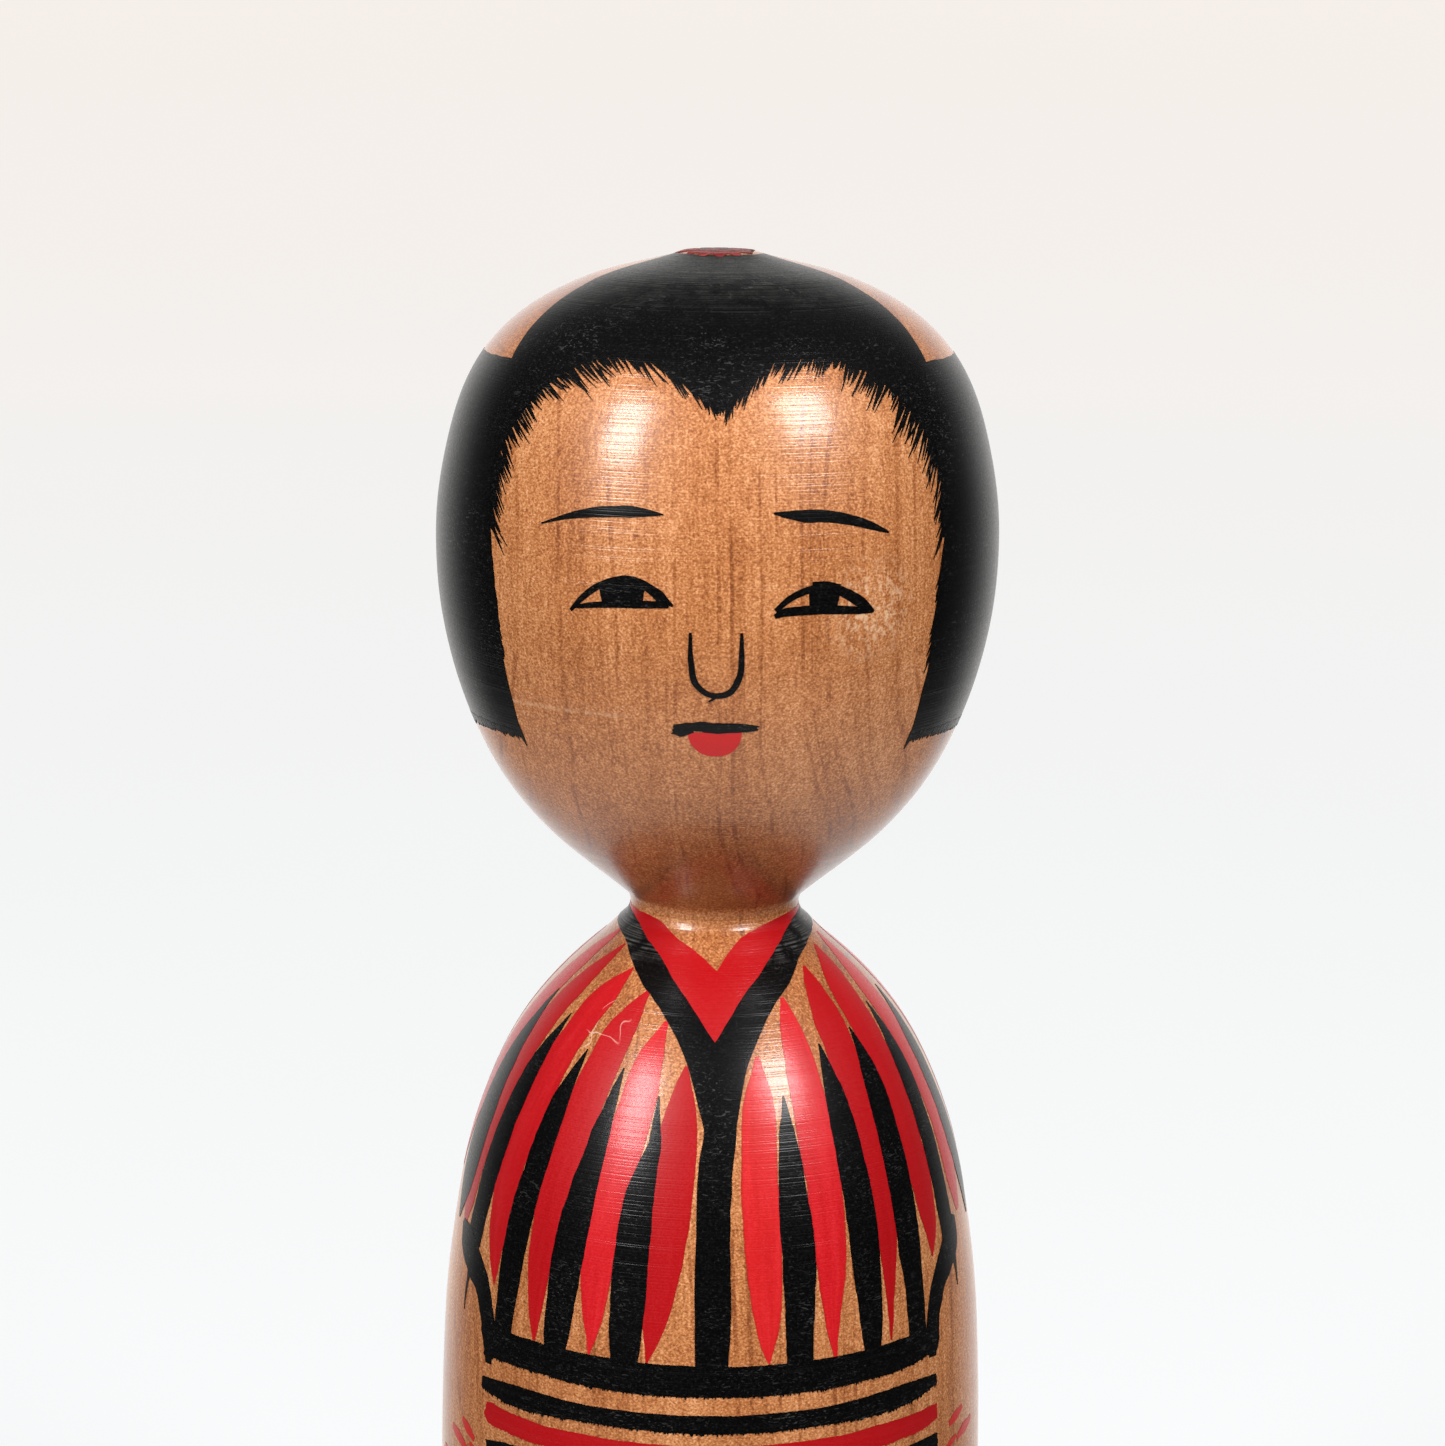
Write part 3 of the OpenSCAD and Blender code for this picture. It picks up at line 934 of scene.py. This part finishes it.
def paint_sash(surface, black, red):
    """Waist bands across the front, whose ink has crept down the grain, and the hem lines."""
    rng = np.random.default_rng(23)
    ink, dye = Sheet(surface), Sheet(surface)
    for path in SASH_INK:
        stroke(ink, path, rng, DETAIL_LIFT, step=0.14, waver=0.05, wick=0.5, ragged=0.7)
    for path in HEM_LINES + HEM_TAILS:
        stroke(ink, path, rng, DETAIL_LIFT, step=0.3, waver=0.1)
    stroke(dye, SASH_RED, rng, RED_LIFT, step=0.2, waver=0.06, wick=0.25, ragged=0.3)
    return ink.build("sash_ink", black), dye.build("sash_red", red)


def petal(sheet, centre, angle, inner, outer, width, rng, lift):
    """One petal stroke pointing away from a flower's centre."""
    a0, h0 = centre
    r = float(sheet.surface.radius(np.array([sheet.surface.run(h0)]))[0])
    path = []
    for k, w in ((0, 0.35), (0.35, 0.9), (0.7, 1.0), (1, 0.3)):
        d = inner + (outer - inner) * k
        path.append((a0 + math.degrees(d * math.cos(angle) / r), h0 + d * math.sin(angle), width * w))
    stroke(sheet, path, rng, lift, step=0.3)


SPRAYS = [  # petal strokes of the flowers at the doll's sides
    [(-64, 117.7, 0.9), (-61.4, 116.8, 1.8), (-58.2, 115.6, 1)],
    [(-70, 114.9, 0.9), (-66, 114.3, 1.8), (-61.8, 113.4, 0.9)],
    [(-60.4, 114.6, 0.7), (-57.6, 113.6, 1.3), (-55.6, 112.4, 0.6)],
    [(66.6, 119.7, 0.9), (63, 119.1, 1.8), (59.8, 118.4, 0.9)],
    [(72.6, 116.4, 0.9), (68, 115.9, 1.8), (63.6, 115.2, 0.9)],
    [(63.2, 115.8, 0.6), (60.6, 115.2, 1.2), (58, 114.4, 0.6)],
]
STEMS = [  # one plum stem with a twig to each side
    [(0.6, 51, 0.5), (-0.9, 60, 1.5), (0.7, 70, 1.3), (0, 79, 0.4)],
    [(-0.4, 56.5, 0.7), (-9, 58, 1.1), (-18.5, 61.8, 0.4)],
    [(-0.4, 57.5, 0.7), (9, 58.6, 1.1), (18.5, 61.9, 0.4)],
]

# Plum blossoms on the skirt: angle and height of the middle, and the petals' reach
BLOSSOMS = [(0, 88, 10.5), (-29, 64, 9.2), (29, 64, 9.2), (0, 41, 8.4)]
SIDE_BLOSSOM = (76, 100, 10.0)

# Lines round the base: height, width, and how far the ink creeps
FOOT_RING, RED_RING, TOP_RING = (13.0, 3.4, 0.4), (19.5, 3.0, 0.3), (24.0, 1.3, 0.3)


def blossom(sheet, centre, inner, outer, width, rng):
    """Five red petals round a middle."""
    for k in range(5):
        turn = math.radians(90 + 72 * k + rng.normal(0, 3))
        petal(sheet, centre, turn, inner, outer, width, rng, RED_LIFT + 0.001 * k)


def ring_line(sheet, rng, lift, height, width, wick):
    """A line painted right round the doll as it spins."""
    path = [(a, height, width) for a in np.linspace(-180, 180, 25)]
    stroke(sheet, path, rng, lift, step=0.4, waver=0.04, wick=wick)


def paint_skirt(surface, black, red):
    """Below the sash: plum blossoms with stems, sprays at the sides, and rings round the base."""
    rng = np.random.default_rng(24)
    dye, ink = Sheet(surface), Sheet(surface)
    for a, h, size in BLOSSOMS:
        blossom(dye, (a, h), 2.0, size, size * 0.62, rng)
        for k in range(5):
            petal(ink, (a, h), math.radians(54 + 72 * k), 0.8, 3.6, 0.6, rng, BLACK_LIFT)
    for path in STEMS:
        stroke(ink, path, rng, BLACK_LIFT, step=0.3)
    for path in SPRAYS:
        stroke(dye, path, rng, RED_LIFT, step=0.3, tint=0.8)
    a, h, size = SIDE_BLOSSOM
    for side in (-1, 1):
        blossom(dye, (side * a, h), 2.4, size, 4.6, rng)
    ring_line(ink, rng, BLACK_LIFT, *FOOT_RING)
    ring_line(dye, rng, RED_LIFT, *RED_RING)
    ring_line(ink, rng, BLACK_LIFT, *TOP_RING)
    return dye.build("skirt_red", red), ink.build("skirt_ink", black)


# ---------------- camera and studio

LOOK_HEIGHT = 0.226  # the camera's centre line meets the turning axis here
CAMERA_AWAY = 0.6045
CAMERA_DOWN = math.radians(11.4)
CAMERA_ROLL = math.radians(0.49)
CAMERA_RIGHT = 0.00102
CAMERA_LENS = 95.85
SENSOR_WIDTH = 36

# Name, azimuth and elevation in degrees, distance, width and height in metres, watts
SOFTBOXES = [
    ("softbox_left", -43, 31, 1.3, 0.33, 0.56, 17.5),
    ("softbox_right", 43, 38, 1.3, 0.42, 0.44, 17.0),
]
SOFTBOX_AIM = 0.24  # height of the point that they face
FLOOR_R = 2.5  # of the flat floor, and of the sweep up from its edge
FLOOR_SEGMENTS = 96
FLOOR_GLOW = 0.94
GLOW_R = 5.0  # its colour changes out to here

WORLD_DIM = 0.05
WORLD_BEHIND, WORLD_ABOVE, WORLD_BELOW = 1.35, 0.12, 0.92


def make_camera():
    data = bpy.data.cameras.new("camera")
    data.lens = CAMERA_LENS
    data.sensor_width = SENSOR_WIDTH
    data.clip_start = 0.01
    data.clip_end = 100
    camera = bpy.data.objects.new("camera", data)
    right = Vector((1, 0, 0))
    up = Vector((0, math.sin(CAMERA_DOWN), math.cos(CAMERA_DOWN)))
    back = Vector((0, -math.cos(CAMERA_DOWN), math.sin(CAMERA_DOWN)))
    x = right * math.cos(CAMERA_ROLL) + up * math.sin(CAMERA_ROLL)
    y = up * math.cos(CAMERA_ROLL) - right * math.sin(CAMERA_ROLL)
    place = Vector((0, 0, LOOK_HEIGHT)) + back * CAMERA_AWAY + x * CAMERA_RIGHT
    rows = [(x[i], y[i], back[i], place[i]) for i in range(3)]
    camera.matrix_world = Matrix(rows + [(0, 0, 0, 1)])
    bpy.context.scene.collection.objects.link(camera)
    bpy.context.scene.camera = camera


def make_softbox(name, azimuth, elevation, away, width, height, power):
    """A rectangular light facing the doll's shoulders, azimuth 0 in front and positive towards +X."""
    data = bpy.data.lights.new(name, "AREA")
    data.shape = "RECTANGLE"
    data.size, data.size_y = width, height
    data.energy = power
    light = bpy.data.objects.new(name, data)
    a, e = math.radians(azimuth), math.radians(elevation)
    out = Vector((math.sin(a) * math.cos(e), -math.cos(a) * math.cos(e), math.sin(e)))
    light.location = Vector((0, 0, SOFTBOX_AIM)) + out * away
    light.rotation_euler = out.to_track_quat("Z", "Y").to_euler()
    light.visible_camera = False
    bpy.context.scene.collection.objects.link(light)


def make_surroundings():
    """A bright backdrop behind, a pale table close below, and a dim room in front."""
    world = bpy.data.worlds.new("surroundings")
    bpy.context.scene.world = world
    n = Nodes(world)

    def band(value, low, high, strength):
        made = n.span(value, low, high, 0.0, strength)
        made.node.interpolation_type = "SMOOTHSTEP"
        return made

    _, y, z = n.make("SeparateXYZ", Vector=n.make("TexCoord").outputs["Generated"]).outputs
    behind = n.times(band(y, 0.5, 0.95, WORLD_BEHIND), band(z, 0.7, 0.2, 1.0))
    glow = n.plus(behind, WORLD_DIM)
    glow = n.plus(glow, band(z, 0.3, 1.0, WORLD_ABOVE))
    glow = n.plus(glow, band(z, -0.4, -0.8, WORLD_BELOW))
    n.feed(n.shader.inputs["Color"], (1.0, 0.985, 0.97, 1))
    n.feed(n.shader.inputs["Strength"], glow)


def make_studio():
    """White surroundings, two softboxes and the floor."""
    make_surroundings()
    for softbox in SOFTBOXES:
        make_softbox(*softbox)
    make_floor()
    bpy.context.scene.view_settings.view_transform = "Standard"


def make_floor():
    """A pale floor that sweeps up out of sight all round, and glows a little warmer far off."""
    n = Nodes(bpy.data.materials.new("pale_floor"))
    tone = n.noise((0.002, 0.002, 0.002), 1.0)
    colour = n.ramp(tone, (0.3, (0.20, 0.20, 0.20)), (0.7, (0.22, 0.22, 0.22)))
    material = n.finish(colour, 0.9, n.bump(tone, 0.01), 0.0, 0.5)
    away = n.make("VectorMath", _0=n.place_mm(MM, MM, MM))  # in metres
    away.operation = "LENGTH"
    glow = n.ramp(n.math("DIVIDE", away.outputs["Value"], GLOW_R), (0.0, (0.78, 0.80, 0.81)),
                  (0.3, (0.86, 0.86, 0.855)), (1.0, (0.98, 0.885, 0.82)))
    n.feed(n.shader.inputs["Emission Color"], glow)
    n.shader.inputs["Emission Strength"].default_value = FLOOR_GLOW
    rings = [(0.001, 0), (1.0, 0), (FLOOR_R, 0)]
    for a in np.radians(np.arange(6, 73, 6)):
        rings.append((FLOOR_R + FLOOR_R * math.sin(a), FLOOR_R - FLOOR_R * math.cos(a)))
    turns = np.linspace(0, 2 * math.pi, FLOOR_SEGMENTS, endpoint=False)
    co = [(r * math.cos(t), r * math.sin(t), z) for r, z in rings for t in turns]
    mesh = bpy.data.meshes.new("floor")
    mesh.from_pydata(co, [], bands(0, len(rings), FLOOR_SEGMENTS))
    mesh.polygons.foreach_set("use_smooth", [True] * len(mesh.polygons))
    mesh.materials.append(material)
    floor = bpy.data.objects.new("floor", mesh)
    bpy.context.scene.collection.objects.link(floor)
    floor.visible_glossy = floor.visible_diffuse = False


# ---------------- putting it together


def dress(pieces, body):
    for piece in pieces:
        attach(piece, body)


make_camera()
make_studio()
wood, black, red = wood_material(), black_material(), red_material("red_dye", 0.36, 0.22)
worn_red = red_material("worn_red_dye", 0.0, 0.03)

head, body = Turned("head"), Turned("body")
head_wood = lathe(head, "head_wood", wood)
body_wood = lathe(body, "body_wood", wood)
dress([head_wood], "head")
dress([body_wood], "body")
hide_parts("head")
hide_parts("body")

rosette = paint_crown(head, worn_red)
face_ink, lip = paint_face(head, black, red)
dress([paint_hair(head, black), face_ink], "head")
dress([rosette, lip], "head")

under_collar, collar = paint_collar(body, black, red)
red_stripes, black_stripes = paint_stripes(body, black, red)
sash_ink, sash_red = paint_sash(body, black, red)
skirt_red, skirt_ink = paint_skirt(body, black, red)
dress([collar, black_stripes, sash_ink, skirt_ink], "body")
dress([under_collar, red_stripes, sash_red, skirt_red], "body")
